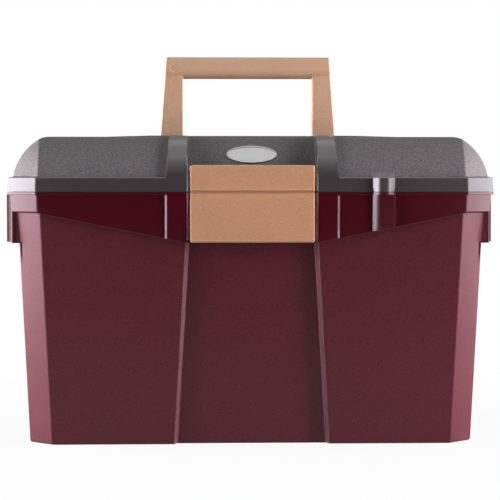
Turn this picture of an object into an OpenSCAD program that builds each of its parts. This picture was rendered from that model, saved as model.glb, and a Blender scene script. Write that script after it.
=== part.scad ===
// Horse grooming box: a moulded tub with a domed, hinged lid, a front latch, a folding
// carry handle and a lift-out tray. Millimetres, +Z up, front towards -Y, origin at the
// centre of the base.

/* [Outline] */
// Length over the lid rim
rim_l = 391; // [350:1:440]
// Depth over the lid rim, front to back
rim_d = 234; // [220:1:280]
// Leg of the rim's corner chamfer
rim_corner = 24; // [20:0.5:30]
// Height of the tub's top edge
tub_h = 202.5; // [180:0.5:240]
// Moulded wall thickness
wall = 2.6; // [2:0.1:3]

/* [Tub] */
// Thickness of the floor
floor_t = 3; // [2:0.1:5]
// How far the matt walls stand back from the rim, under the collar
wall_inset = 7.9; // [7:0.1:10]
// Draft angle of the matt walls
draft = 2.65; // [1:0.05:4]
// Leg of the matt walls' corner chamfer
wall_corner = 19; // [16:0.5:24]
// Small chamfer round the base
base_edge = 1.2; // [0.5:0.1:3]
// Height of the collar at the ends and back
collar_h = 16; // [12:0.5:24]
// Height of the collar beside the latch
collar_front_h = 40; // [34:0.5:48]
// Height of the lip under the parting line
lip_h = 2; // [1:0.1:3]
// How far the collar stands back from the lip
band_inset = 1.8; // [1:0.1:2.5]
// Draft angle of the collar
band_draft = 4; // [1:0.5:6]
// Height of the locating ring that stands inside the lid
ring_h = 4; // [2:0.5:6]
// Thickness of the locating ring
ring_t = 1.5; // [1:0.1:2]

/* [Front recess] */
// Depth of the recessed centre panel
recess_depth = 7; // [4:0.5:9]
// Width of the recess at the base
recess_base_w = 124.4; // [110:0.2:150]
// Width of the recess under the collar
recess_top_w = 105.4; // [104.6:0.2:116]
// Slope of the recess's side walls, sideways
recess_slope = 2.3; // [0.5:0.1:4]
// Width of the latch channel between the pilasters
channel_w = 103.4; // [101.6:0.2:104.4]
// Width of each pilaster
pilaster_w = 17.7; // [12:0.1:24]
// How much narrower each pilaster is at the top of the lid
pilaster_taper = 3.2; // [0.5:0.1:5]

/* [End grips] */
// Length of the grip's raised plate
grip_l = 108; // [80:1:130]
// How far the plate stands past the lid rim
grip_reach = 4.5; // [2:0.1:8]
// Height of the grip, down from the tub's top edge
grip_h = 41; // [34:0.5:56]
// How far the grip's outer ends stand back from the lid rim
grip_end_back = 3; // [1:0.1:3.5]
// Step from the wing to the raised plate
grip_step = 2.2; // [1:0.1:3]

/* [Front boss] */
// Distance of the boss from the middle
boss_x = 104.3; // [85:0.1:130]
// Width of the boss at its root
boss_w = 17.4; // [15:0.1:22]
// How far the lid's boss stands out from the rim
boss_out = 5; // [3:0.1:5.2]
// Radius from the flanks of the lid's boss to its front
boss_r = 5; // [1:0.1:5.5]
// How far the tub's boss stands out from the collar
low_boss_out = 4.2; // [3:0.1:4.4]
// Radius from the flanks of the tub's boss to its front
low_boss_r = 7; // [2:0.1:8]
// Step at the lower end of the lid's boss
boss_step = 0.6; // [0.3:0.1:1]
// Height of that step
boss_step_h = 2; // [1:0.1:4]

/* [Lid] */
// Height of the rim band
rim_h = 12; // [9:0.5:16]
// Thickness of the rim band
rim_wall = 3; // [2.4:0.1:3.4]
// How far the rim band leans in over its height
rim_lean = 0.6; // [0.2:0.1:1]
// Radius along the rim's top edge
rim_round = 1.4; // [0.6:0.1:2]
// How far the dome stands back from the rim
dome_inset = 4.2; // [3.8:0.1:6]
// Leg of the dome's corner chamfer
dome_corner = 21.6; // [18:0.1:26]
// Radius of the dome's shoulder
roll_r = 44.4; // [38:0.2:50]
// Lean of the shoulder at its foot, in degrees
roll_start = 10; // [5:1:14]
// Lean where the shoulder passes into the crown radius, in degrees
roll_turn = 58; // [52:1:64]
// Radius from the shoulder into the flat top
crown_r = 17.5; // [14:0.5:22]
// How far the smooth top and pilasters stand above the matt top
plinth_rise = 1; // [0.6:0.1:1.4]
// Width of the smooth top
plinth_w = 164; // [162:1:190]
// Sideways run of the slopes beside the smooth top
plinth_run = 36; // [10:1:40]
// Depth of the latch channel behind the rim's front
channel_depth = 15; // [13:0.5:18]
// Thickness of the channel's cheeks
cheek_t = 4; // [3:0.5:6]

/* [Rear hinges] */
// Distance of each hinge from the middle
hinge_x = 105; // [80:1:130]
// Width of the lid's knuckle
lid_knuckle = 26; // [18:1:40]
// Width of each of the tub's knuckles
tub_knuckle = 13; // [8:1:20]
// Radius of the knuckles
knuckle_r = 4.5; // [4:0.1:5]
// Radius of the hinge pins
hinge_pin_r = 2; // [1.5:0.1:2.5]
// Distance of the hinge axis behind the rim
hinge_back = 5.5; // [5.3:0.1:8]
// Height of the hinge axis above the tub's top edge
hinge_up = 1; // [0.5:0.1:2]

/* [Latch] */
// Width of the latch
latch_w = 99; // [80:0.5:99.5]
// Height of the latch above the parting line
latch_up = 21.5; // [19:0.5:26]
// How far the latch stands out from the rim
latch_proud = 0.2; // [0.1:0.1:4]
// Thickness of the latch's front plate
latch_t = 3; // [2:0.1:4]
// Corner radius of the latch plate
latch_corner = 2; // [1:0.1:4]
// Chamfer round the face of the latch plate
latch_edge = 0.9; // [0.4:0.1:1.4]
// Height of the groove across the latch
groove_h = 2.4; // [1.5:0.1:4]
// Depth of that groove
groove_t = 1.3; // [0.4:0.1:1.4]
// Radius of the latch pin
latch_pin_r = 1.6; // [1.2:0.1:2]
// Height of the latch pin above the parting line
latch_pin_up = 16; // [14:0.5:17]
// Distance of the latch pin behind the rim's front
latch_pin_back = 6; // [5:0.5:7]
// Radius of the latch's barrel
barrel_r = 4; // [3.4:0.1:4.5]

/* [Handle] */
// Place of the handle behind the middle
handle_y = 10; // [4:1:14]
// Reach of the handle from its pivot to its top
handle_reach = 78.6; // [70:0.2:81]
// Clear width between the legs
handle_gap = 110.8; // [104:0.2:120]
// Width over the bar at its top
handle_w = 138.6; // [132:0.2:142]
// Lean of the handle's outer edges, in degrees
handle_lean = 4.3; // [1:0.1:5]
// Height of the bar
bar_h = 18.1; // [14:0.1:20]
// Thickness of the bar, front to back
bar_t = 17; // [14.5:0.1:17.5]
// Radius along the bar's lower edges
bar_low_r = 7.6; // [3:0.1:8]
// Radius along the bar's upper edges
bar_top_r = 2.2; // [1:0.1:4]
// Thickness of the legs
leg_t = 13; // [11:0.1:14]
// Radius of the handle pins
handle_pin_r = 3; // [2:0.1:4]
// Depth of the handle pivot below the smooth top
pivot_depth = 9.6; // [9.2:0.1:12]
// Radius of the moulding mark on the bar
mark_r = 3.2; // [2:0.1:5]
// Depth of the moulding mark
mark_t = 0.3; // [0.2:0.1:1]

/* [Badge] */
// Width of the oval plate
badge_w = 40.5; // [30:0.5:60]
// Height of the oval plate
badge_h = 16.8; // [12:0.1:22]
// Thickness of the oval plate
badge_t = 1.8; // [1.4:0.1:2.4]
// Lean of the plate from upright, in degrees
badge_lean = 34; // [30:1:42]
// Depth of the plate's seat in the channel floor
badge_seat = 1.2; // [1:0.1:1.4]

/* [Tray] */
// Depth of the tray
tray_h = 54; // [35:1:70]
// Thickness of the tray's walls and floor
tray_wall = 2; // [1.6:0.1:2.6]
// Draft angle of the tray's walls
tray_draft = 3; // [2.8:0.1:5]
// Thickness of the tray's end flanges
flange_t = 2.5; // [2:0.1:4]
// Distance of each divider from the middle
divider_x = 60; // [40:1:120]
// Thickness of the dividers
divider_t = 1.8; // [1.4:0.1:3]
// Radius of the finger notch in each divider
notch_r = 13; // [8:0.5:18]

/* [Fits] */
// Radial clearance of the pins
fit = 0.05; // [0.03:0.01:0.08]
// Gap at the parting line and at seats
seat = 0.3; // [0.2:0.05:0.4]
// Side clearance of parts that move past each other
slack = 0.5; // [0.4:0.05:0.8]
// Clearance of the tray in the tub
tray_clear = 2; // [1.5:0.1:3]

/* [Hidden] */
$fn = 48;

// One overrun serves all cuts
over = 1;
// Facets of each arc in an outline
arc_steps = 8;
// Facets of the rim's rounded edge
round_steps = 4;
// Loss of a corner chamfer's leg for each millimetre of inset
leg_share = 2 - sqrt(2);
// Shortest chamfer leg that an outline keeps
leg_min = 0.2;

burgundy = "#5a2430";
grey = "#5c5857";
beige = "#c08d6c";
silver = "#bfc0c0";
steel = "#a8abad";

// Levels of the tub
lip_z = tub_h - lip_h;
band_z = tub_h - collar_h;
front_z = tub_h - collar_front_h;
ledge_z = band_z + wall;
ring_top = tub_h + ring_h;
front_y = -rim_d/2;
crease_x = rim_l/2 - rim_corner;

// Insets of the locating ring, outside and inside
ring_out = rim_wall + slack;
ring_in = ring_out + ring_t;

// Levels of the lid
part_z = tub_h + seat;
rim_top = tub_h + rim_h;
roll_run = roll_r*(cos(roll_start) - cos(roll_turn)) + crown_r*cos(roll_turn);
roll_rise = roll_r*(sin(roll_turn) - sin(roll_start)) + crown_r*(1 - sin(roll_turn));
dome_top = rim_top + roll_rise;
lid_top = dome_top + plinth_rise;
channel_y = front_y + channel_depth;

// Handle and its well
pivot_z = lid_top - pivot_depth;
handle_top = pivot_z + handle_reach;
bar_z = handle_top - bar_h;
function handle_x(z) = handle_w/2 + (handle_top - z)*tan(handle_lean);
well_clear = 1.3;
well_floor = pivot_z - bar_t/2 - well_clear;
well_w = 2*(handle_x(pivot_z - leg_t/2) + well_clear);
well_back = handle_y + leg_t/2 + seat;
well_front = handle_y - handle_reach - well_clear;
finger_room = 16;
island_w = handle_gap - 2*well_clear;
island_front = well_front + well_clear + bar_h + finger_room;
plinth_back = well_back + 4*wall;

// Hinge axis
hinge_y = rim_d/2 + hinge_back;
hinge_z = tub_h + hinge_up;
gusset_drop = 18;

// Latch, its pin and its catch
latch_face = front_y - latch_proud;
latch_top = tub_h + latch_up;
latch_pin_y = front_y + latch_pin_back;
latch_pin_z = tub_h + latch_pin_up;
latch_pin_l = channel_w + 2*(cheek_t - over);
flange_depth = latch_pin_back + barrel_r;
bead_r = 1.5;
catch_stand = 1.55;
catch_run = 2.75;
catch_rise = 2.8;
catch_w = 44;
bead_z = front_z + bead_r;
catch_z = bead_z + catch_rise;
catch_y = recess_y(catch_z) - catch_stand;
bead_y = catch_y - catch_run;

// Place of the badge on the channel floor, where the shoulder leans as the badge does
badge_y = channel_y + roll_r*(cos(roll_start) - cos(badge_lean));
badge_z = rim_top + plinth_rise + roll_r*(sin(badge_lean) - sin(roll_start));
badge_edge = 1;
badge_border = 1.3;
badge_dish = 0.4;

// Grip outline
grip_x = rim_l/2 + grip_reach;
grip_end_x = rim_l/2 - grip_end_back;
grip_root_x = rim_l/2 - wall_inset - wall;
grip_y = rim_d/2 - rim_corner - wall;
grip_z = tub_h - grip_h;

// Tray
tray_z = ledge_z + seat + flange_t;
tray_low = tray_z - tray_h;
cavity_x = rim_l/2 - wall_inset - wall;
cavity_y = rim_d/2 - wall_inset - wall;
cavity_leg = wall_corner - wall*leg_share;
tray_x = cavity_x - tray_clear;
tray_y = -recess_y(tub_h) - wall - tray_clear;
tray_leg = max(leg_min, tray_x + tray_y - (cavity_x + cavity_y - cavity_leg) + 2*tray_clear);
flange_x = rim_l/2 - ring_in - slack;
flange_w = rim_d - 2*rim_corner - 8*tray_clear;
rib_t = 2.4;
rib_reach = 4;
slot_w = divider_t + 2*seat;
divider_drop = 4;

// Rectangle with chamfered corners
function octagon(l, d, leg) =
    let (x = l/2, y = d/2)
    [[x, leg - y], [x, y - leg], [x - leg, y], [leg - x, y],
     [-x, y - leg], [-x, leg - y], [leg - x, -y], [x - leg, -y]];

// Rim outline, evenly inset
function rim_outline(inset) =
    octagon(rim_l - 2*inset, rim_d - 2*inset, rim_corner - inset*leg_share);

// How far the matt wall stands back from the rim at a height
function wall_back(z) = wall_inset + (band_z - z)*tan(draft);

// Outline of the matt walls at a height, inset for the inside
function wall_outline(z, inset) =
    let (back = wall_back(z) + inset)
    octagon(rim_l - 2*back, rim_d - 2*back, wall_corner - inset*leg_share);

// How far the collar stands back from the rim at a height
function band_back(z) = band_inset + (lip_z - z)*tan(band_draft);

// Outline of the collar at a height
function band_outline(z, proud) = rim_outline(band_back(z) - proud);

// Floor of the front recess at a height
function recess_y(z) = front_y + wall_back(z) + recess_depth;

// Half width of the front recess at a height
function recess_half(z) = (recess_base_w + (recess_top_w - recess_base_w)*z/front_z)/2;

// Plan of the recess at a height, grown for the wall behind it
function recess_plan(z, grow) =
    let (half = recess_half(z) + grow, out = recess_slope/recess_depth)
    [[-half - over*out, front_y + wall_back(z) - over],
     [half + over*out, front_y + wall_back(z) - over],
     [half - recess_slope, recess_y(z) + grow],
     [recess_slope - half, recess_y(z) + grow]];

// Plan of the latch channel in the tub at a height
function channel_plan(z, grow) =
    [[-channel_w/2 - grow, front_y - latch_proud - over],
     [channel_w/2 + grow, front_y - latch_proud - over],
     [channel_w/2 + grow, recess_y(z) + grow],
     [-channel_w/2 - grow, recess_y(z) + grow]];

// Points of an arc
function arc(x, y, r, from, to) =
    [for (i = [0 : arc_steps])
        let (a = from + (to - from)*i/arc_steps)
        [x + r*cos(a), y + r*sin(a)]];

// Plan of the boss: a flat front that rounds into a flank at 45 degrees, standing out from a root
// line; its right side is another flank or a square shoulder
function boss_plan(less, out, r, root, square) =
    let (half = boss_w/2 - less, x = half - out - r*(sqrt(2) - 1), y = root - out + r)
    concat([[boss_x - half, root + wall], [boss_x - half, root]], arc(boss_x - x, y, r, 225, 270),
           square ? [[boss_x + half, root - out]]
                  : concat(arc(boss_x + x, y, r, 270, 315), [[boss_x + half, root]]),
           [[boss_x + half, root + wall]]);

// Rectangle on the origin with its own radius at each pair of corners
function soft_rect(w, h, low_r, top_r) =
    concat(arc(low_r - w/2, low_r - h/2, low_r, 180, 270), arc(w/2 - low_r, low_r - h/2, low_r, 270, 360),
           arc(w/2 - top_r, h/2 - top_r, top_r, 0, 90), arc(top_r - w/2, h/2 - top_r, top_r, 90, 180));

// Shoulder of the dome as steps of run inwards and rise
roll = concat(
    [for (i = [0 : arc_steps])
        let (a = roll_start + (roll_turn - roll_start)*i/arc_steps)
        [roll_r*(cos(roll_start) - cos(a)), roll_r*(sin(a) - sin(roll_start))]],
    [for (i = [1 : arc_steps])
        let (a = roll_turn + (90 - roll_turn)*i/arc_steps)
        [roll_run - crown_r*cos(a), roll_rise - crown_r*(1 - sin(a))]]);

// Outline of the dome where its shoulder has run in this far
function dome_outline(inset, run) =
    octagon(rim_l - 2*(inset + run), rim_d - 2*(inset + run),
            max(leg_min, dome_corner - (inset - dome_inset)*leg_share - run));

// Solid through a stack of outlines, each given as [points, height]
module loft(rings) {
    n = len(rings[0][0]);
    last = len(rings) - 1;
    points = [for (ring = rings) for (p = ring[0]) [p.x, p.y, ring[1]]];
    foot = [for (i = [0 : n - 1]) i];
    head = [for (i = [n - 1 : -1 : 0]) last*n + i];
    sides = [for (k = [0 : last - 1]) for (i = [0 : n - 1])
        let (j = (i + 1) % n)
        [k*n + i, (k + 1)*n + i, (k + 1)*n + j, k*n + j]];
    polyhedron(points, concat([foot, head], sides));
}

// Extrude a (y, z) profile along X, centred
module along_x(l) {
    rotate([90, 0, 90]) linear_extrude(l, center = true) children();
}

// Extrude an (x, z) profile along Y, centred
module along_y(l) {
    rotate([90, 0, 0]) linear_extrude(l, center = true) children();
}

// Box between two corners
module block(low, high) {
    translate(low) cube(high - low);
}

// Rod along X, centred
module rod(r, l) {
    rotate([0, 90, 0]) cylinder(r = r, h = l, center = true);
}

// The two sides of a symmetrical feature
module both_sides() {
    for (side = [0, 1]) mirror([side, 0, 0]) children();
}

// Space under which the collar is cut away: sloping at the front, level elsewhere
module collar_space() {
    reach = rim_l/2 + boss_w;
    depth = rim_d/2 + boss_w;
    translate([0, -depth/2, 0]) along_y(depth)
        polygon([[-reach, lip_z], [-reach, band_z], [-crease_x, band_z], [-channel_w/2, front_z],
                 [channel_w/2, front_z], [crease_x, band_z], [reach, band_z], [reach, lip_z]]);
    block([-reach, -over, band_z], [reach, depth, lip_z]);
}

// Glossy collar with its two pilasters and the boss
module collar() {
    inner = channel_w/2 - over;
    outer = channel_w/2 + pilaster_w;
    intersection() {
        union() {
            loft([[band_outline(front_z, 0), front_z], [band_outline(lip_z, 0), lip_z]]);
            intersection() {
                loft([[band_outline(front_z, band_inset), front_z],
                      [band_outline(lip_z, band_inset), lip_z]]);
                both_sides() block([inner, front_y, front_z], [outer, 0, lip_z]);
            }
            loft([for (z = [front_z, tub_h])
                      [boss_plan(0, low_boss_out, low_boss_r, front_y + band_back(z), true), z]]);
        }
        collar_space();
    }
}

// Grip under the rim at the right end: wings that rise to a raised plate, hollow below
module end_grip() {
    plate = grip_l/2;
    wing_x = grip_x - grip_step;
    difference() {
        translate([0, 0, grip_z]) linear_extrude(lip_z - grip_z)
            polygon([[grip_root_x, -grip_y], [grip_end_x, -grip_y], [wing_x, -plate], [grip_x, -plate],
                     [grip_x, plate], [wing_x, plate], [grip_end_x, grip_y], [grip_root_x, grip_y]]);
        translate([0, 0, grip_z - over]) linear_extrude(lip_z - grip_z - wall + over)
            polygon([[grip_root_x, wall - grip_y], [grip_end_x - wall, wall - grip_y],
                     [wing_x - wall, -plate], [wing_x - wall, wall - plate], [grip_x - wall, wall - plate],
                     [grip_x - wall, plate - wall], [wing_x - wall, plate - wall], [wing_x - wall, plate],
                     [grip_end_x - wall, grip_y - wall], [grip_root_x, grip_y - wall]]);
    }
}

// Hinge station on the tub: two knuckles on gussets
module tub_hinge() {
    shift = (lid_knuckle + tub_knuckle)/2 + slack;
    root_y = rim_d/2 - band_inset - wall;
    for (side = [-1, 1]) translate([hinge_x + side*shift, 0, 0]) {
        translate([0, hinge_y, hinge_z]) rod(knuckle_r, tub_knuckle);
        along_x(tub_knuckle)
            polygon([[root_y, hinge_z - gusset_drop],
                     [hinge_y + knuckle_r*cos(30), hinge_z - knuckle_r*sin(30)],
                     [hinge_y, hinge_z], [rim_d/2, tub_h - lip_h/2], [root_y, tub_h - lip_h/2]]);
    }
}

// Outside of the tub before it is hollowed
module tub_solid() {
    loft([[wall_outline(0, base_edge), 0], [wall_outline(base_edge, 0), base_edge],
          [wall_outline(lip_z, 0), lip_z]]);
    collar();
    translate([0, 0, lip_z]) linear_extrude(lip_h) polygon(rim_outline(0));
    translate([0, 0, lip_z]) linear_extrude(lip_h)
        polygon(boss_plan(boss_step, boss_out - boss_step, boss_r, front_y, false));
    translate([0, 0, lip_z]) linear_extrude(ring_top - lip_z) polygon(rim_outline(ring_out));
    both_sides() end_grip();
    both_sides() tub_hinge();
}

// Room inside the tub, with the wall behind the front recess left standing
module tub_room() {
    difference() {
        union() {
            loft([[wall_outline(floor_t, wall), floor_t],
                  [wall_outline(ledge_z + over, wall), ledge_z + over]]);
            translate([0, 0, ledge_z]) linear_extrude(ring_top + over - ledge_z)
                polygon(rim_outline(ring_in));
        }
        loft([[recess_plan(0, wall), 0], [recess_plan(front_z, wall), front_z]]);
        loft([[channel_plan(front_z - over, wall), front_z - over], [channel_plan(tub_h, wall), tub_h]]);
    }
}

module tub() {
    ring_gap = channel_w/2 + cheek_t + slack;
    color(burgundy) {
        difference() {
            tub_solid();
            tub_room();
            loft([[recess_plan(-over, 0), -over], [recess_plan(front_z, 0), front_z]]);
            loft([[channel_plan(front_z - over, 0), front_z - over],
                  [channel_plan(ring_top, 0), ring_top + over]]);
            block([-ring_gap, front_y, tub_h], [ring_gap, channel_y + 2*wall, ring_top + over]);
            both_sides() translate([hinge_x, hinge_y, hinge_z])
                rod(hinge_pin_r + fit, 2*lid_knuckle + 2*tub_knuckle);
        }
        translate([0, catch_y, catch_z]) rod(bead_r, catch_w);
        block([-catch_w/2, catch_y, catch_z - bead_r],
              [catch_w/2, recess_y(catch_z) + wall/2, catch_z + bead_r]);
    }
}

// Dome through its shoulder rings, from a straight foot; inset and lowered for the inside
module dome(inset, drop, foot) {
    loft(concat([[dome_outline(inset, 0), foot]],
                [for (p = roll) [dome_outline(inset, p.x), rim_top + p.y - drop]]));
}

// Side view of a shoulder that starts this far behind the rim's front, down to the parting line
function shoulder(back, drop) =
    concat([[front_y + back, part_z - over]],
           [for (p = roll) [front_y + back + p.x, rim_top + plinth_rise + p.y - drop]]);

// The smooth pilasters that run up the lid beside the latch channel and narrow towards its top
module lid_pilasters() {
    inner = channel_w/2;
    outer = inner + pilaster_w;
    top_back = front_y + channel_depth + roll_run;
    profile = concat([[front_y, part_z]],
                     [for (p = roll) [front_y + rim_lean + p.x, rim_top + plinth_rise + p.y]],
                     [[top_back, lid_top], [top_back, part_z]]);
    both_sides() intersection() {
        translate([(inner + outer)/2, 0, 0]) along_x(pilaster_w) polygon(profile);
        along_y(rim_d + 2*over)
            polygon([[inner, part_z], [outer, part_z], [outer - pilaster_taper, lid_top], [inner, lid_top]]);
    }
}

// Hinge station on the lid: one knuckle on its arm
module lid_hinge() {
    translate([hinge_x, hinge_y, hinge_z]) rod(knuckle_r, lid_knuckle);
    translate([hinge_x, 0, 0]) along_x(lid_knuckle)
        polygon([[rim_d/2 - rim_wall/2, part_z], [hinge_y, part_z], [hinge_y, hinge_z + knuckle_r],
                 [rim_d/2 - rim_wall/2, hinge_z + 2*knuckle_r]]);
}

// Smooth top that rises a little above the dome and slopes away to both sides
module lid_plinth() {
    front = front_y + dome_inset + roll_run;
    sink_share = 0.25;
    foot = plinth_w/2 + plinth_run*(1 + sink_share);
    low = dome_top - plinth_rise*sink_share;
    translate([0, (front + plinth_back)/2, 0]) along_y(plinth_back - front)
        polygon([[-foot, low], [foot, low], [plinth_w/2, lid_top], [-plinth_w/2, lid_top]]);
}

// Outside of the lid before it is hollowed
module lid_solid() {
    loft(concat([[rim_outline(0), part_z]],
                [for (i = [0 : round_steps])
                    let (a = 90*i/round_steps)
                    [rim_outline(rim_lean + rim_round*(1 - cos(a))), rim_top - rim_round*(1 - sin(a))]]));
    dome(dome_inset, 0, rim_top - rim_h/2);
    lid_pilasters();
    lid_plinth();
    translate([0, 0, part_z]) linear_extrude(2*boss_step_h)
        polygon(boss_plan(boss_step, boss_out - boss_step, boss_r, front_y, false));
    translate([0, 0, part_z + boss_step_h]) linear_extrude(rim_h - seat - boss_step_h - rim_round/2)
        polygon(boss_plan(0, boss_out, boss_r, front_y, false));
    both_sides() lid_hinge();
}

// U-shaped well that the handle folds into
module handle_well() {
    difference() {
        block([-well_w/2, well_front, well_floor], [well_w/2, well_back, lid_top + over]);
        block([-island_w/2, island_front, well_floor - over],
              [island_w/2, well_back + over, lid_top + 2*over]);
    }
}

// Room inside the lid, with the walls of the channel and the well left standing
module lid_room() {
    back_top = lid_top + over;
    difference() {
        union() {
            translate([0, 0, part_z - over]) linear_extrude(rim_h - wall + over - seat)
                polygon(rim_outline(rim_wall));
            dome(dome_inset + wall, wall, part_z - over);
        }
        along_x(channel_w + 2*cheek_t)
            polygon(concat(shoulder(channel_depth + wall, wall),
                           [[front_y - over, lid_top], [front_y - over, part_z - over]]));
        block([-well_w/2 - wall, well_front - wall, well_floor - wall],
              [well_w/2 + wall, well_back + wall, back_top]);
    }
    block([wall - island_w/2, island_front + wall, well_floor - wall - over],
          [island_w/2 - wall, well_back, dome_top - wall]);
}

// Oval that lies on the channel floor, drawn from its outer face inwards
module oval(w, h, t) {
    translate([0, badge_y, badge_z]) rotate([90 - badge_lean, 0, 0])
        linear_extrude(t, center = true) scale([w/h, 1]) circle(d = h);
}

module lid() {
    color(grey) difference() {
        lid_solid();
        lid_room();
        along_x(channel_w)
            polygon(concat(shoulder(channel_depth, 0),
                           [[channel_y + roll_run, lid_top + over], [front_y - latch_t, lid_top + over],
                            [front_y - latch_t, part_z - over]]));
        handle_well();
        oval(badge_w + seat, badge_h + seat, 2*badge_seat);
        translate([0, latch_pin_y, latch_pin_z]) rod(latch_pin_r + fit, latch_pin_l + seat);
        both_sides() translate([hinge_x, hinge_y, hinge_z]) rod(hinge_pin_r + fit, lid_knuckle + 2*over);
        translate([0, handle_y, pivot_z]) rod(handle_pin_r + fit, well_w + 2*wall + 2*over);
    }
}

// Plate outline of the latch, smaller by this much
function latch_outline(less) =
    soft_rect(latch_w - 2*less, latch_top - front_z - 2*less, latch_corner, latch_corner);

// Front plate of the latch, with a chamfered face
module latch_plate() {
    translate([0, latch_face + latch_t, (latch_top + front_z)/2]) rotate([90, 0, 0])
        loft([[latch_outline(0), 0], [latch_outline(0), latch_t - latch_edge],
              [latch_outline(latch_edge), latch_t]]);
}

module front_latch() {
    back = latch_face + latch_t - over;
    flange_back = front_y + flange_depth;
    color(beige) difference() {
        union() {
            latch_plate();
            both_sides() block([latch_w/2 - wall - latch_edge, back, front_z + latch_corner],
                               [latch_w/2 - latch_edge, flange_back, latch_pin_z]);
            translate([0, latch_pin_y, latch_pin_z]) rod(barrel_r, latch_w - 2*latch_edge);
            block([latch_edge - latch_w/2, back, latch_pin_z - barrel_r/2],
                  [latch_w/2 - latch_edge, latch_pin_y, latch_pin_z + barrel_r/2]);
            block([latch_edge - latch_w/2, back, front_z],
                  [latch_w/2 - latch_edge, bead_y, front_z + 2*bead_r]);
            translate([0, bead_y, bead_z]) rod(bead_r, latch_w - 2*latch_edge);
        }
        block([-latch_w/2 - over, latch_face - over, tub_h - groove_h/2],
              [latch_w/2 + over, latch_face + groove_t, tub_h + groove_h/2]);
        translate([0, latch_pin_y, latch_pin_z]) rod(latch_pin_r + fit, latch_w + 2*over);
    }
}

module latch_pin() {
    color(steel) translate([0, latch_pin_y, latch_pin_z]) rod(latch_pin_r, latch_pin_l);
}

// Front view of the whole handle's outer edges
module handle_front() {
    low = pivot_z - leg_t/2;
    polygon([[-handle_x(low), low], [handle_x(low), low], [handle_x(handle_top), handle_top],
             [-handle_x(handle_top), handle_top]]);
}

module carry_handle() {
    depth = 2*bar_t;
    inner = handle_gap/2;
    color(beige) translate([0, handle_y, 0]) difference() {
        intersection() {
            along_y(depth) handle_front();
            union() {
                both_sides() {
                    block([inner, -leg_t/2, pivot_z], [well_w/2, leg_t/2, bar_z + bar_h/2]);
                    translate([(inner + well_w/2)/2, 0, pivot_z]) rod(leg_t/2, well_w/2 - inner);
                }
                translate([0, 0, bar_z + bar_h/2]) along_x(well_w)
                    polygon(soft_rect(bar_t, bar_h, bar_low_r, bar_top_r));
            }
        }
        translate([0, 0, pivot_z]) rod(handle_pin_r + fit, well_w + 2*over);
        translate([2*mark_r - handle_w/2, -bar_t/2, handle_top - bar_h/2]) rotate([90, 0, 0])
            cylinder(r = mark_r, h = 2*mark_t, center = true);
    }
}

// Pin through one leg of the handle, from the island's wall to the well's outer wall
module handle_pin(side) {
    inner = island_w/2 - wall;
    outer = well_w/2 + wall;
    color(steel) translate([side*(inner + outer)/2, handle_y, pivot_z]) rod(handle_pin_r, outer - inner);
}

module handle_pin_left() handle_pin(-1);

module handle_pin_right() handle_pin(1);

module hinge_pin(side) {
    color(steel) translate([side*hinge_x, hinge_y, hinge_z])
        rod(hinge_pin_r, lid_knuckle + 2*tub_knuckle + 2*slack);
}

module hinge_pin_left() hinge_pin(-1);

module hinge_pin_right() hinge_pin(1);

// Oval plate with a raised border, bare inside
module badge_plate() {
    lift = badge_t/2 - badge_seat;
    out = [0, -cos(badge_lean), sin(badge_lean)];
    color(silver) difference() {
        translate(lift*out) oval(badge_w, badge_h, badge_t);
        translate((lift + badge_t/2)*out)
            oval(badge_w - 2*badge_border, badge_h - 2*badge_border, 2*badge_dish);
    }
}

// How far the tray's walls have drawn in at a height
function tray_back(z) = (tray_z - z)*tan(tray_draft);

// Plan of the tray at a height, inset for the inside
function tray_outline(z, inset) =
    octagon(2*(tray_x - tray_back(z) - inset), 2*(tray_y - tray_back(z) - inset),
            max(leg_min, tray_leg - inset*leg_share));

// Pairs of ribs that hold one divider at the front and back walls
module divider_ribs() {
    reach = tray_y - tray_back(tray_low) - tray_wall - rib_reach;
    for (side = [-1, 1]) for (end = [0, 1]) mirror([0, end, 0])
        translate([divider_x + side*(slot_w + rib_t)/2, 0, 0])
            block([-rib_t/2, reach, tray_low], [rib_t/2, tray_y, tray_z - divider_drop]);
}

module tray() {
    color(beige) {
        difference() {
            union() {
                loft([[tray_outline(tray_low, 0), tray_low], [tray_outline(tray_z, 0), tray_z]]);
                both_sides() block([tray_x - tray_wall, -flange_w/2, tray_z - flange_t],
                                   [flange_x, flange_w/2, tray_z]);
            }
            loft([[tray_outline(tray_low + tray_wall, tray_wall), tray_low + tray_wall],
                  [tray_outline(tray_z + over, tray_wall), tray_z + over]]);
        }
        intersection() {
            loft([[tray_outline(tray_low, tray_wall/2), tray_low],
                  [tray_outline(tray_z, tray_wall/2), tray_z]]);
            both_sides() divider_ribs();
        }
    }
}

// Loose cross divider with a finger notch in its top edge
module divider(side) {
    low = tray_low + tray_wall + seat;
    high = tray_z - divider_drop;
    function half(z) = tray_y - tray_back(z) - tray_wall - slack;
    color(beige) difference() {
        translate([side*divider_x, 0, 0]) along_x(divider_t)
            polygon([[-half(low), low], [half(low), low], [half(high), high], [-half(high), high]]);
        translate([side*divider_x, 0, high]) rod(notch_r, divider_t + 2*over);
    }
}

module divider_left() divider(-1);

module divider_right() divider(1);

tub();
lid();
front_latch();
latch_pin();
carry_handle();
handle_pin_left();
handle_pin_right();
hinge_pin_left();
hinge_pin_right();
badge_plate();
tray();
divider_left();
divider_right();
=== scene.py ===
import math

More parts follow.
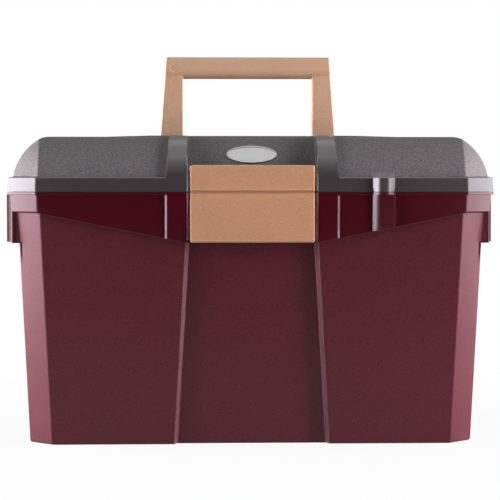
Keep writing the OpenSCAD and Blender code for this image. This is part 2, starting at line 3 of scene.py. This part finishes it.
import bpy
from mathutils import Euler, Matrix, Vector


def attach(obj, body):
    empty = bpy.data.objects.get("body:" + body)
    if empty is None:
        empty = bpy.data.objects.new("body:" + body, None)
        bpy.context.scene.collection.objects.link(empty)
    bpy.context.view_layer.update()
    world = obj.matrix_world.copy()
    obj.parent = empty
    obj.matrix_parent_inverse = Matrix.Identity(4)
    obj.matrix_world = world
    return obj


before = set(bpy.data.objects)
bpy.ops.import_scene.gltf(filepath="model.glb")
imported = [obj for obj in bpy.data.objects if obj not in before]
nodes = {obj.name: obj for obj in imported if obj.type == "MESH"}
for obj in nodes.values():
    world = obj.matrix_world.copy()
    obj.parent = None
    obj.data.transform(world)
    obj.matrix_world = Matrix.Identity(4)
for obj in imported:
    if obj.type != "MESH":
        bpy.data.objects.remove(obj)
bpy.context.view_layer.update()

# Places and sizes that the materials share with the CAD model, in metres
FRONT_Z = 0.1625
BAND_Z = 0.1865
LIP_Z = 0.2005
PART_Z = 0.2027
RIM_TOP = 0.2145
LID_TOP = 0.2481
CHANNEL = 0.0517
CHANNEL_Y = -0.110
PILASTER = 0.0694
PILASTER_Y = -0.074
TAPER = 0.0032
CREASE = 0.1715
CORNER = 0.0785
CORNER_REACH = 0.030
REAR_Y = -0.02
STEP_X = 0.066
STEP_Y = -0.0900
BOSS_X = 0.1043
BOSS_HALF = 0.0090
BOSS_Y = -0.1120
GRIP_X = 0.1885
GRIP_Z = 0.1610
GROOVE_Z = 0.2025
GROOVE_Y = -0.1150
MARK_X = -0.0630
MARK_Y = 0.0035
MARK_Z = 0.3080
MARK_R = 0.0032

# Lips beside the latch; each front edge is a list of y and z
LIP_IN = 0.0508
LIP_OUT = CHANNEL + 0.0001
LIP_BACK = -0.1130
LIP_ROUND = 0.0002
TUB_LIP = ((-0.1143, 0.1645), (-0.1167, 0.2003), (-0.1167, 0.2020))
LID_LIP = ((-0.1167, 0.2033), (-0.1161, 0.2155), (-0.1151, 0.2200), (-0.1136, 0.2244))

# Crown of the corner chamfers
CROWN = 1.5
BOW = 0.45
BOW_Z = 0.10
DIAGONAL = 0.35

# Shares of painted highlight and painted shade, and how much darker or lighter the random tones of one
# colour and the painted marks are
STEP_HIGHLIGHT = 0.38
CORNER_HIGHLIGHT = 0.55
GROOVE_HIGHLIGHT = 0.35
DISH_SHADE = 0.6
DARK_SHARE = 0.62
LIGHT_SHARE = 1.38
PAINTED_SHADE_SHARE = 0.80
PAINTED_HIGHLIGHT_SHARE = 1.30

# Distances from the groove's middle over which the painted shade of its floor and the painted highlights of
# its rims fade, in metres
GROOVE_FLOOR = (0.0011, 0.0015)
GROOVE_RIM_START = (0.0013, 0.0017)
GROOVE_RIM_END = (0.0019, 0.0025)

# Angles for edges that get rounded and edges that shade smoothly
SHARP_ANGLE = math.radians(24)
SMOOTH_ANGLE = math.radians(32)
FLAT_ANGLE = math.radians(0.4)
FLANK_WIDTH = 0.0016
WELD_GAP = 0.000002


# Node helpers
def put(tree, kind, inputs=None, **props):
    """Adds a node; an input is a value or the socket that feeds it."""
    made = tree.nodes.new(kind)
    for key, value in props.items():
        setattr(made, key, value)
    for key, value in (inputs or {}).items():
        if isinstance(value, bpy.types.NodeSocket):
            tree.links.new(value, made.inputs[key])
        else:
            made.inputs[key].default_value = value
    return made


def calc(tree, operation, a, b=0.0, c=0.0, clamp=False):
    """One maths node."""
    made = put(tree, "ShaderNodeMath", {0: a, 1: b, 2: c}, operation=operation, use_clamp=clamp)
    return made.outputs[0]


def product(tree, first, *others):
    """The values multiplied together."""
    result = first
    for other in others:
        result = calc(tree, "MULTIPLY", result, other)
    return result


def minus(tree, a, b):
    """The first value less the second."""
    return calc(tree, "SUBTRACT", a, b)


def magnitude(tree, value):
    """A value without its sign."""
    return calc(tree, "ABSOLUTE", value)


def over(tree, value, limit):
    """1 where a value is over a limit."""
    return calc(tree, "GREATER_THAN", value, limit)


def under(tree, value, limit):
    """1 where a value is under a limit."""
    return calc(tree, "LESS_THAN", value, limit)


def axes(tree, vector):
    """The x, y and z of a vector."""
    return put(tree, "ShaderNodeSeparateXYZ", {0: vector}).outputs


def ramp(tree, value, low, high, start=0.0, end=1.0):
    """Smooth step of a value from low to high."""
    made = put(tree, "ShaderNodeMapRange",
               {"Value": value, "From Min": low, "From Max": high, "To Min": start, "To Max": end},
               interpolation_type="SMOOTHSTEP")
    return made.outputs["Result"]


def fall(tree, value, low, high):
    """Smooth step of a value from 1 at low to 0 at high."""
    return ramp(tree, value, low, high, 1.0, 0.0)


def line(tree, value, low, high, start=0.0, end=1.0):
    """Clamped straight map of a value."""
    made = put(tree, "ShaderNodeMapRange",
               {"Value": value, "From Min": low, "From Max": high, "To Min": start, "To Max": end})
    return made.outputs["Result"]


def blend(tree, factor, a, b):
    """Mix of two colours."""
    return put(tree, "ShaderNodeMix", {0: factor, 6: a, 7: b}, data_type="RGBA").outputs[2]


def mix_value(tree, factor, a, b):
    """Mix of two numbers."""
    return put(tree, "ShaderNodeMix", {0: factor, 2: a, 3: b}, data_type="FLOAT").outputs[0]


def noise(tree, where, scale, detail=2.0, rough=0.5):
    """Cloudy noise from 0 to 1."""
    made = put(tree, "ShaderNodeTexNoise",
               {"Vector": where, "Scale": scale, "Detail": detail, "Roughness": rough})
    return made.outputs["Fac"]


def stretched(tree, place, scale):
    """Coordinates scaled by axis."""
    return put(tree, "ShaderNodeMapping", {"Vector": place, "Scale": scale}).outputs[0]


def tone(color, amount=1.0):
    """A colour made darker or lighter by an even share."""
    return tuple(c * amount for c in color) + (1.0,)


def start_material(name):
    """New material with its shader and the piece's own coordinates."""
    material = bpy.data.materials.new(name)
    material.use_nodes = True
    tree = material.node_tree
    shader = tree.nodes["Principled BSDF"]
    place = put(tree, "ShaderNodeTexCoord").outputs["Object"]
    return material, tree, shader, place


# Zones of the mouldings
def crowned_corners(tree, place):
    """Normal that bends a little across the corner chamfers, as if they were slightly crowned."""
    normal = put(tree, "ShaderNodeTexCoord").outputs["Normal"]
    normal_x, normal_y, _ = axes(tree, normal)
    diagonal = magnitude(tree, product(tree, normal_x, normal_y))
    x, y, z = axes(tree, place)
    across = minus(tree, magnitude(tree, x), magnitude(tree, y))
    offset = minus(tree, across, CORNER)
    near = under(tree, magnitude(tree, offset), CORNER_REACH)
    on_corner = product(tree, over(tree, diagonal, DIAGONAL), near)
    lean = product(tree, offset, CROWN, on_corner)
    bow = product(tree, minus(tree, BOW_Z, z), BOW, on_corner, under(tree, z, BAND_Z))
    tilt = put(tree, "ShaderNodeCombineXYZ", {
        "X": product(tree, calc(tree, "SIGN", x), lean),
        "Y": product(tree, calc(tree, "SIGN", y), lean, -1.0),
        "Z": bow})
    bent = put(tree, "ShaderNodeVectorMath", {0: normal, 1: tilt.outputs[0]}, operation="ADD")
    turned = put(tree, "ShaderNodeVectorTransform", {0: bent.outputs[0]}, vector_type="NORMAL",
                 convert_from="OBJECT", convert_to="WORLD")
    return put(tree, "ShaderNodeVectorMath", {0: turned.outputs[0]}, operation="NORMALIZE").outputs[0]


def painted_edge_highlights(tree, place):
    """Up to 1 where a patchy highlight is painted into the colour: the lips, the collar's pilaster corners
    and the panel's step.
    """
    x, y, z = axes(tree, place)
    across = magnitude(tree, x)
    # Painted highlight: a thin band on the lips beside the latch and a band on the pilaster corners
    lip_edge = product(tree, over(tree, across, LIP_IN - 0.0002),
                       fall(tree, across, LIP_IN + 0.0008, LIP_IN + 0.0014))
    corner = product(tree, over(tree, across, PILASTER - 0.0017), under(tree, across, PILASTER + 0.0001),
                     under(tree, z, LIP_Z - 0.0012), CORNER_HIGHLIGHT)
    band = calc(tree, "MAXIMUM", lip_edge, corner)
    band = product(tree, band, under(tree, y, CHANNEL_Y), over(tree, z, FRONT_Z))
    normal_x = axes(tree, put(tree, "ShaderNodeTexCoord").outputs["Normal"])[0]
    inward = under(tree, product(tree, normal_x, x), 0.0)
    steep = over(tree, magnitude(tree, normal_x), 0.5)
    # Painted highlight: the inward walls of the recess below the panel's step are lighter, as if lit from
    # the side
    step = product(tree, inward, steep, under(tree, across, STEP_X), under(tree, z, FRONT_Z + 0.0005),
                   under(tree, y, STEP_Y), STEP_HIGHLIGHT)
    highlight_patches = ramp(tree, noise(tree, place, 120.0, 3.0), 0.25, 0.5, 0.5, 1.0)
    return product(tree, calc(tree, "MAXIMUM", band, step), highlight_patches)


def boss_zone(tree, place):
    """1 on the small boss beside the latch, which is a little rougher and shines more."""
    x, y, _ = axes(tree, place)
    near = under(tree, magnitude(tree, minus(tree, x, BOSS_X)), BOSS_HALF)
    return product(tree, near, under(tree, y, BOSS_Y))


def painted_groove_light(tree, place):
    """Painted highlights on the rims and painted shade on the floor of the groove across the latch."""
    _, y, z = axes(tree, place)
    reach = magnitude(tree, minus(tree, z, GROOVE_Z))
    front = under(tree, y, GROOVE_Y)
    rim = product(tree, ramp(tree, reach, *GROOVE_RIM_START), fall(tree, reach, *GROOVE_RIM_END))
    return product(tree, rim, front, GROOVE_HIGHLIGHT), product(tree, fall(tree, reach, *GROOVE_FLOOR), front)


def painted_mark_light(tree, place):
    """Painted highlight on the left rim and painted shade in the dish of the round mark on the handle's
    bar.
    """
    x, y, z = axes(tree, place)
    dx = minus(tree, x, MARK_X)
    dz = minus(tree, z, MARK_Z)
    reach = calc(tree, "SQRT", calc(tree, "ADD", product(tree, dx, dx), product(tree, dz, dz)))
    # Only the left side, where the light falls, gets the painted highlight and shade
    left = product(tree, fall(tree, dx, 0.0, 0.0012), under(tree, y, MARK_Y))
    rim = fall(tree, magnitude(tree, minus(tree, reach, MARK_R)), 0.0002, 0.0008)
    dish = fall(tree, reach, MARK_R - 0.0010, MARK_R - 0.0002)
    return product(tree, rim, left), product(tree, dish, left, DISH_SHADE)


def tub_smooth(tree, place):
    """1 on the collar above its sloping edge and on the end grips."""
    x, y, z = axes(tree, place)
    across = magnitude(tree, x)
    slope = line(tree, across, CHANNEL, CREASE, FRONT_Z, BAND_Z)
    edge = mix_value(tree, over(tree, y, REAR_Y), slope, BAND_Z)
    collar = over(tree, z, minus(tree, edge, 0.0004))
    grip = product(tree, over(tree, across, GRIP_X), over(tree, z, GRIP_Z))
    return calc(tree, "MAXIMUM", collar, grip)


def lid_smooth(tree, place):
    """1 on the rim and on the two pilasters."""
    x, y, z = axes(tree, place)
    across = magnitude(tree, x)
    rim = under(tree, z, RIM_TOP + 0.0003)
    edge = line(tree, z, PART_Z, LID_TOP, PILASTER + 0.0002, PILASTER + 0.0002 - TAPER)
    pilaster = product(tree, over(tree, across, CHANNEL - 0.0008), under(tree, across, edge),
                       under(tree, y, PILASTER_Y))
    return calc(tree, "MAXIMUM", rim, pilaster)


# Materials
def plastic(name, color, smooth_color=None, smooth_mask=None, gloss=0.16, grain_rough=0.56,
            grain=1050.0, speckle=0.60, grain_depth=0.00008, specular=0.30, shine=0.5,
            highlight_color=None, satin=0.0, boss_shine=0.0, mark=None):
    """Moulded plastic: a spark-eroded grain with fine speckle, smooth zones where the mask is 1, and
    painted highlights and painted shade on edges, grooves and marks.
    """
    material, tree, shader, place = start_material(name)
    fine = noise(tree, place, grain, 2.0, 0.6)
    cloud = noise(tree, place, 55.0, 3.0, 0.6)
    coarse = noise(tree, place, 9.0, 3.0, 0.5)
    smooth = smooth_mask(tree, place) if smooth_mask else 0.0
    grained = minus(tree, 1.0, smooth)

    drift = product(tree, minus(tree, fine, 0.5), product(tree, grained, 4.0 * speckle))
    drift = calc(tree, "MULTIPLY_ADD", minus(tree, cloud, 0.5), 0.10, drift)
    drift = calc(tree, "MULTIPLY_ADD", minus(tree, coarse, 0.5), 0.12, drift)
    factor = calc(tree, "ADD", drift, 0.5, clamp=True)
    shade = blend(tree, factor, tone(color, DARK_SHARE), tone(color, LIGHT_SHARE))
    if smooth_mask:
        polished = blend(tree, factor, tone(smooth_color, DARK_SHARE), tone(smooth_color, LIGHT_SHARE))
        shade = blend(tree, smooth, shade, polished)
        # Painted highlight, patchy, on the lips, the pilaster corners and the panel's step
        shade = blend(tree, painted_edge_highlights(tree, place), shade, tone(highlight_color))
    if mark:
        # Painted shade in the dish or groove floor, and painted highlight on its rims
        rim, painted_shade = mark(tree, place)
        shade = blend(tree, painted_shade, shade, tone(color, PAINTED_SHADE_SHARE))
        shade = blend(tree, rim, shade, tone(color, PAINTED_HIGHLIGHT_SHARE))
    tree.links.new(shade, shader.inputs["Base Color"])

    lines = noise(tree, stretched(tree, place, (30.0, 30.0, 900.0)), 1.0)
    smooth_rough = calc(tree, "MULTIPLY_ADD", lines, 0.03, gloss - 0.015)
    if smooth_mask:
        smooth_rough = calc(tree, "MULTIPLY_ADD", boss_zone(tree, place), satin, smooth_rough)
    grain_value = calc(tree, "MULTIPLY_ADD", cloud, 0.12, grain_rough - 0.06)
    tree.links.new(mix_value(tree, smooth, grain_value, smooth_rough), shader.inputs["Roughness"])
    bump = put(tree, "ShaderNodeBump", {"Height": product(tree, fine, grained), "Strength": 0.5,
                                        "Distance": grain_depth})
    tree.links.new(bump.outputs["Normal"], shader.inputs["Normal"])
    if smooth_mask:
        tree.links.new(crowned_corners(tree, place), bump.inputs["Normal"])
        level = mix_value(tree, smooth, specular, shine)
        level = calc(tree, "MULTIPLY_ADD", boss_zone(tree, place), boss_shine, level)
        tree.links.new(level, shader.inputs["Specular IOR Level"])
    else:
        shader.inputs["Specular IOR Level"].default_value = specular
    return material


def metal(name, color, rough, along):
    """Satin metal with fine brushed lines."""
    material, tree, shader, place = start_material(name)
    lines = noise(tree, stretched(tree, place, tuple(2400.0 * a for a in along)), 1.0, 3.0)
    cloud = noise(tree, place, 90.0, 3.0)
    factor = product(tree, calc(tree, "ADD", lines, cloud), 0.5)
    shade = blend(tree, factor, tone(color, 0.86), tone(color, 1.08))
    tree.links.new(shade, shader.inputs["Base Color"])
    tree.links.new(line(tree, lines, 0.3, 0.7, rough - 0.07, rough + 0.07), shader.inputs["Roughness"])
    bump = put(tree, "ShaderNodeBump", {"Height": lines, "Strength": 0.3, "Distance": 0.00003})
    tree.links.new(bump.outputs["Normal"], shader.inputs["Normal"])
    shader.inputs["Metallic"].default_value = 1.0
    return material


# The last colour of the burgundy and grey plastics is their painted edge highlight
burgundy = plastic("burgundy_plastic", (0.0645, 0.0050, 0.0105), (0.051, 0.0027, 0.0070), tub_smooth,
                   gloss=0.16, grain_rough=0.37, specular=0.30, shine=0.32, highlight_color=(0.30, 0.15, 0.17),
                   satin=0.05, boss_shine=0.20)
grey = plastic("grey_plastic", (0.125, 0.1120, 0.1100), (0.039, 0.034, 0.033), lid_smooth,
               gloss=0.24, grain_rough=0.50, specular=0.04, highlight_color=(0.26, 0.25, 0.25), satin=0.02,
               boss_shine=0.42)
# The latch plastic takes painted highlight and shade at its groove, and the handle plastic at its round
# mark
latch_beige = plastic("latch_beige", (0.455, 0.228, 0.118), grain_rough=0.46, grain=1300.0,
                      speckle=0.20, grain_depth=0.00005, mark=painted_groove_light)
handle_beige = plastic("handle_beige", (0.460, 0.280, 0.170), grain_rough=0.50, grain=1300.0,
                       speckle=0.20, grain_depth=0.00005, mark=painted_mark_light)
silver = metal("badge_silver", (0.28, 0.28, 0.28), rough=0.46, along=(0.08, 1.0, 1.0))
steel = metal("pin_steel", (0.42, 0.43, 0.44), rough=0.34, along=(0.04, 1.0, 1.0))
dark_steel = metal("dark_steel", (0.06, 0.06, 0.06), rough=0.50, along=(0.04, 1.0, 1.0))

looks = {
    "tub": burgundy, "lid": grey, "front_latch": latch_beige, "carry_handle": handle_beige,
    "tray": latch_beige, "divider_left": latch_beige, "divider_right": latch_beige, "badge_plate": silver,
    "latch_pin": dark_steel, "handle_pin_left": steel, "handle_pin_right": steel,
    "hinge_pin_left": steel, "hinge_pin_right": steel,
}
for name, material in looks.items():
    mesh = nodes[name].data
    mesh.materials.clear()
    mesh.materials.append(material)


# Edge rounding on the carried-over solids
def start_group(name):
    """New geometry group with its input and output."""
    group = bpy.data.node_groups.new(name, "GeometryNodeTree")
    group.interface.new_socket("Geometry", in_out="INPUT", socket_type="NodeSocketGeometry")
    group.interface.new_socket("Geometry", in_out="OUTPUT", socket_type="NodeSocketGeometry")
    enter = group.nodes.new("NodeGroupInput").outputs[0]
    leave = group.nodes.new("NodeGroupOutput").inputs[0]
    return group, enter, leave


def edge_angle(group):
    """The angle between the two faces of an edge."""
    return group.nodes.new("GeometryNodeInputMeshEdgeAngle").outputs["Unsigned Angle"]


def shade_group():
    """Smooth shading across shallow edges only."""
    group, enter, leave = start_group("smooth_by_angle")
    test = put(group, "FunctionNodeCompare", {0: edge_angle(group), 1: SMOOTH_ANGLE},
               data_type="FLOAT", operation="LESS_EQUAL")
    faces = put(group, "GeometryNodeSetShadeSmooth", {"Geometry": enter}, domain="FACE")
    edges = put(group, "GeometryNodeSetShadeSmooth",
                {"Geometry": faces.outputs[0], "Shade Smooth": test.outputs[0]}, domain="EDGE")
    group.links.new(edges.outputs[0], leave)
    return group


def edge_group(name, zones, only=False):
    """Weighs the sharp edges for a bevel; each zone is two corners of a box and its own weight."""
    group, enter, leave = start_group(name)
    place = axes(group, group.nodes.new("GeometryNodeInputPosition").outputs[0])
    sharp = over(group, edge_angle(group), SHARP_ANGLE)
    weight = product(group, sharp, 0.0 if only else 1.0)
    for low, high, share in zones:
        within = 1.0
        for axis in range(3):
            within = product(group, within, over(group, place[axis], low[axis]),
                             under(group, place[axis], high[axis]))
        if only:
            weight = calc(group, "MAXIMUM", weight, product(group, within, sharp))
        else:
            weight = product(group, weight, calc(group, "MULTIPLY_ADD", within, share - 1.0, 1.0))
    store = put(group, "GeometryNodeStoreNamedAttribute",
                {"Geometry": enter, "Name": "bevel_weight_edge", "Value": weight},
                data_type="FLOAT", domain="EDGE")
    group.links.new(store.outputs[0], leave)
    return group


smooth_by_angle = shade_group()


def soften(name, width, weights=None, flanks=None):
    """Merges a node's flat facets, rounds its edges and shades it cleanly."""
    piece = nodes[name]
    weld = piece.modifiers.new("weld", "WELD")
    weld.merge_threshold = WELD_GAP
    flat = piece.modifiers.new("flat", "DECIMATE")
    flat.decimate_type = "DISSOLVE"
    flat.angle_limit = FLAT_ANGLE
    if flanks:
        piece.modifiers.new("flank_edges", "NODES").node_group = flanks
        slope = piece.modifiers.new("flank", "BEVEL")
        slope.width = FLANK_WIDTH
        slope.segments = 1
        slope.limit_method = "WEIGHT"
        slope.use_clamp_overlap = False
    if weights:
        piece.modifiers.new("weights", "NODES").node_group = weights
    bevel = piece.modifiers.new("edge", "BEVEL")
    bevel.width = width
    bevel.segments = 3
    bevel.limit_method = "WEIGHT" if weights else "ANGLE"
    bevel.angle_limit = SHARP_ANGLE
    bevel.use_clamp_overlap = False
    piece.modifiers.new("shade", "NODES").node_group = smooth_by_angle
    piece.modifiers.new("weigh", "WEIGHTED_NORMAL").keep_sharp = True


def both(low, high, share):
    """A zone of the right side and its mirror image."""
    return [(low, high, share), ((-high[0], low[1], low[2]), (-low[0], high[1], high[2]), share)]


# Zones with a rounding of their own, on both mouldings
seam = ((-1.0, -1.0, LIP_Z - 0.0005), (1.0, 1.0, PART_Z + 0.0006), 0.2)
boss = ((BOSS_X - 0.010, -1.0, 0.0), (BOSS_X + 0.010, -0.111, RIM_TOP + 0.001), 0.25)
hinges = ((-1.0, 0.109, 0.0), (1.0, 1.0, 1.0), 0.0)

# Zones of the tub
lip_top = ((-1.0, -1.0, 0.2045), (1.0, 1.0, 0.2080), 0.0)
catch_top = ((-0.0560, -0.105, 0.1600), (0.0560, -0.096, 0.1630), 0.0)
channel_ends = both((0.0500, -1.0, 0.198), (0.0570, -0.09, 0.215), 0.0)
channel_feet = both((0.0500, -1.0, 0.157), (0.0590, -0.09, 0.167), 0.3)
channel_sides = both((0.0511, -1.0, 0.170), (0.0523, -0.112, 0.199), 0.3)
grip_ends = both((0.1860, 0.084, 0.183), (0.1990, 0.104, 0.190), 0.2)
grip_ends += both((0.1860, -0.104, 0.183), (0.1990, -0.084, 0.190), 0.2)
grip_feet = both((0.1850, -0.095, 0.1600), (0.2000, 0.095, 0.1630), 0.25)
collar_edge = both((0.0525, -1.0, 0.160), (0.0690, -0.10, 0.168), 0.0)
collar_edge += both((0.0700, -1.0, 0.164), (0.0955, -0.10, 0.1745), 0.0)
collar_edge += both((0.1135, -1.0, 0.172), (0.1700, -0.10, 0.188), 0.0)
pilasters = both((0.0688, -1.0, 0.175), (0.0700, -0.1155, 0.199), 1.0)
flank_rims = both((0.0674, -1.0, 0.170), (0.0698, -0.1120, 0.199), 0.25)
tub_zones = [seam, boss, hinges, lip_top, catch_top]
tub_zones += channel_ends + channel_feet + grip_ends + grip_feet
tub_zones += channel_sides + collar_edge + flank_rims

# Zones of the lid
badge_seat = ((-0.0300, -0.110, 0.2180), (0.0300, -0.080, 0.2450), 0.0)
boss_foot = ((0.0940, -0.123, 0.2040), (0.1145, -0.116, 0.2055), 0.0)
channel_tops = both((0.0500, -0.100, 0.243), (0.0530, -0.07, 0.260), 0.0)
lid_channel = both((0.0511, -1.0, 0.203), (0.0523, -0.100, 0.240), 0.4)
rim_crossing = both((0.0660, -1.0, 0.2030), (0.0705, -0.110, 0.2150), 0.0)
lid_flanks = both((0.0655, -1.0, 0.2150), (0.0700, -0.080, 0.2490), 0.3)
lid_zones = [seam, boss, hinges, badge_seat, boss_foot]
lid_zones += channel_tops + lid_channel + rim_crossing + lid_flanks

# Zones of the latch and of the handle
groove = ((-0.0500, -1.0, 0.2005), (0.0500, -0.1155, 0.2045), 0.45)
latch_zones = both((0.0460, -1.0, 0.160), (0.0560, 0.0, 0.167), 0.0) + [groove]
mark_zone = ((-0.0670, 0.0005, 0.3040), (-0.0590, 0.0030, 0.3120), 0.15)

soften("tub", 0.0008, edge_group("tub_edges", tub_zones), edge_group("tub_flanks", pilasters, only=True))
soften("lid", 0.0009, edge_group("lid_edges", lid_zones))
soften("front_latch", 0.0004, edge_group("latch_edges", latch_zones))
soften("carry_handle", 0.0007, edge_group("handle_edges", [mark_zone]))
soften("badge_plate", 0.0003)
soften("tray", 0.0005)
for name in ("divider_left", "divider_right", "latch_pin", "handle_pin_left", "handle_pin_right",
             "hinge_pin_left", "hinge_pin_right"):
    soften(name, 0.0003)


# Thin lips that narrow the gaps beside the latch, carried by the channel's walls
def lip(name, side, front, body, material):
    """A strip along one wall of the channel, with the front edge that is given."""
    outline = list(front) + [(LIP_BACK, front[-1][1]), (LIP_BACK, front[0][1])]
    count = len(outline)
    points = [(side*x, y, z) for x in (LIP_IN, LIP_OUT) for y, z in outline]
    near = list(range(count))
    far = list(range(count, 2*count))
    faces = [near, far[::-1]]
    for a in range(count):
        b = (a + 1) % count
        faces.append([b, a, count + a, count + b])
    if side < 0:
        faces = [face[::-1] for face in faces]
    mesh = bpy.data.meshes.new(name)
    mesh.from_pydata(points, [], faces)
    mesh.materials.append(material)
    piece = bpy.data.objects.new(name, mesh)
    bpy.context.scene.collection.objects.link(piece)
    rounding = piece.modifiers.new("edge", "BEVEL")
    rounding.width = LIP_ROUND
    rounding.segments = 2
    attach(piece, body)


for end, side in (("left", -1.0), ("right", 1.0)):
    lip("tub_lip_" + end, side, TUB_LIP, "tub", burgundy)
    lip("lid_lip_" + end, side, LID_LIP, "lid", grey)

# Power of the lamps on each side
LEFT_BOX = 19.0
RIGHT_BOX = 9.2
LEFT_FOOT = 3.2
RIGHT_FOOT = 1.7
LEFT_WING = 11.6
RIGHT_WING = 19.3
LEFT_FILL = 28.0
RIGHT_FILL = 17.8
LEFT_SHEEN = 3.4
RIGHT_SHEEN = 3.0

# Power of the lamps above
TOP_POWER = 0.5
TOP_SHINE = 6.8
BROW_POWER = 2.1

# Two rows of lamps that grow dimmer towards the front: angles in degrees, distance in metres
SHEEN_SHARES = (1.0, 0.5, 0.25, 0.12)
SHEEN_START = 20.0
SHEEN_STEP = 15.0
BROW_SHARES = (1.2, 0.64, 0.36, 0.18)
BROW_START = 64.0
BROW_STEP = 12.0
ROW_REACH = 1.05

# Colour of the cool lamps, light all round, and what the front mirrors
COOL = (0.98, 0.96, 1.06)
FILL = 0.06
MIRROR_FRONT = 0.015

# Floor
FLOOR_RADIUS = 0.80
FLOOR_DROP = -0.0002
FLOOR_SHADE = 0.42
FLOOR_GLOW = 0.92

# Camera: place in metres, dip and turn in degrees, lens and sensor in millimetres
CAMERA_PLACE = (-0.0506, -1.5873, 0.2069)
CAMERA_DIP = 1.953
CAMERA_TURN = -1.892
CAMERA_LENS = 133.88
CAMERA_SENSOR = 36.0
CAMERA_REACH = 20.0
WHITE = (1.0, 1.0, 1.0, 1.0)


def floor_material():
    """White to the eye further out, and matt enough near the object to keep its shadow."""
    material = bpy.data.materials.new("floor_white")
    material.use_nodes = True
    tree = material.node_tree
    tree.nodes.clear()
    out = put(tree, "ShaderNodeOutputMaterial")
    matt = put(tree, "ShaderNodeBsdfDiffuse", {"Color": (FLOOR_SHADE, FLOOR_SHADE, FLOOR_SHADE, 1.0)})
    glow = put(tree, "ShaderNodeEmission", {"Color": WHITE, "Strength": 1.0})
    place = put(tree, "ShaderNodeTexCoord").outputs["Object"]
    distance = put(tree, "ShaderNodeVectorMath", {0: place}, operation="LENGTH").outputs["Value"]
    fade = ramp(tree, distance, 0.15, 0.60, FLOOR_GLOW, 1.0)
    path = put(tree, "ShaderNodeLightPath").outputs
    mirrored = calc(tree, "MAXIMUM", path["Is Glossy Ray"], path["Is Transmission Ray"])
    seen = calc(tree, "MAXIMUM", path["Is Camera Ray"], mirrored)
    mix = put(tree, "ShaderNodeMixShader", {0: product(tree, seen, fade)})
    tree.links.new(matt.outputs[0], mix.inputs[1])
    tree.links.new(glow.outputs[0], mix.inputs[2])
    tree.links.new(mix.outputs[0], out.inputs["Surface"])
    return material


bpy.ops.mesh.primitive_circle_add(vertices=96, radius=FLOOR_RADIUS, fill_type="NGON",
                                  location=(0.0, 0.0, FLOOR_DROP))
floor = bpy.context.object
floor.name = "floor"
floor.data.materials.append(floor_material())


# Lamps
def area(name, where, towards, width, power, height, color=(1.0, 1.0, 1.0)):
    """Rectangular soft light."""
    data = bpy.data.lights.new(name, "AREA")
    data.shape = "RECTANGLE"
    data.size = width
    data.size_y = height
    data.energy = power
    data.color = color
    lamp = bpy.data.objects.new(name, data)
    lamp.location = where
    lamp.rotation_euler = (Vector(towards) - Vector(where)).to_track_quat("-Z", "Y").to_euler()
    bpy.context.scene.collection.objects.link(lamp)
    return lamp


# Lamps that are only mirrored have no diffuse light, and the soft ones are not mirrored
gloss = []
soft = []
for end, side, box, foot, wing, fill, sheen in (
        ("left", -1.0, LEFT_BOX, LEFT_FOOT, LEFT_WING, LEFT_FILL, LEFT_SHEEN),
        ("right", 1.0, RIGHT_BOX, RIGHT_FOOT, RIGHT_WING, RIGHT_FILL, RIGHT_SHEEN)):
    gloss.append(area(end + "_box", (side, 0.06, 0.45), (0.0, 0.06, 0.40), 0.90, box, 0.60, COOL))
    gloss.append(area(end + "_foot", (side, 0.06, 0.08), (0.0, 0.06, 0.08), 0.90, foot, 0.14, COOL))
    for step, share in enumerate(SHEEN_SHARES):
        turn = math.radians(SHEEN_START + SHEEN_STEP*step)
        spot = (side*ROW_REACH*math.cos(turn), -0.12 - ROW_REACH*math.sin(turn), 0.32)
        power = sheen*share
        gloss.append(area(end + "_sheen_%d" % step, spot, (0.0, -0.12, 0.20), 0.28, power, 0.70, COOL))
    spot = (1.034*side, -0.493, 0.36)
    soft.append(area(end + "_wing", spot, (0.0, -0.117, 0.20), 0.30, wing, 0.66, COOL))
    spot = (1.05*side, 0.12, 0.25)
    soft.append(area(end + "_fill", spot, (0.0, 0.12, 0.20), 0.45, fill, 0.44))
area("top_box", (0.0, -0.10, 1.25), (0.0, 0.0, 0.25), 1.3, TOP_POWER, 0.8)
gloss.append(area("top_shine", (0.0, -0.10, 1.30), (0.0, -0.10, 0.25), 1.3, TOP_SHINE, 0.8))
for step, share in enumerate(BROW_SHARES):
    rise = math.radians(BROW_START - BROW_STEP*step)
    spot = (0.0, -0.11 - ROW_REACH*math.cos(rise), 0.22 + ROW_REACH*math.sin(rise))
    gloss.append(area("brow_%d" % step, spot, (0.0, -0.11, 0.22), 1.3, BROW_POWER*share, 0.22))
for lamp in gloss:
    lamp.visible_diffuse = False
for lamp in soft:
    lamp.visible_glossy = False

# White behind the object for the camera, dim in front of it for reflections
world = bpy.data.worlds.new("studio")
bpy.context.scene.world = world
world.use_nodes = True
sky = world.node_tree
sky.nodes.clear()
sky_path = put(sky, "ShaderNodeLightPath").outputs
sky_way = axes(sky, put(sky, "ShaderNodeTexCoord").outputs["Generated"])
mirrored = calc(sky, "MAXIMUM", sky_path["Is Glossy Ray"], sky_path["Is Transmission Ray"])
behind = ramp(sky, sky_way["Y"], -0.10, 0.28, MIRROR_FRONT, 1.0)
strength = mix_value(sky, mirrored, FILL, behind)
strength = calc(sky, "MAXIMUM", strength, sky_path["Is Camera Ray"])
backdrop = put(sky, "ShaderNodeBackground", {"Color": WHITE, "Strength": strength})
sky_out = put(sky, "ShaderNodeOutputWorld")
sky.links.new(backdrop.outputs[0], sky_out.inputs["Surface"])

# Camera
camera_data = bpy.data.cameras.new("camera")
camera_data.lens = CAMERA_LENS
camera_data.sensor_width = CAMERA_SENSOR
camera_data.clip_end = CAMERA_REACH
camera = bpy.data.objects.new("camera", camera_data)
camera.location = CAMERA_PLACE
camera.rotation_euler = Euler((math.radians(90.0 - CAMERA_DIP), 0.0, math.radians(CAMERA_TURN)), "XYZ")
bpy.context.scene.collection.objects.link(camera)
bpy.context.scene.camera = camera
bpy.context.scene.view_settings.view_transform = "Standard"

bpy.context.view_layer.update()
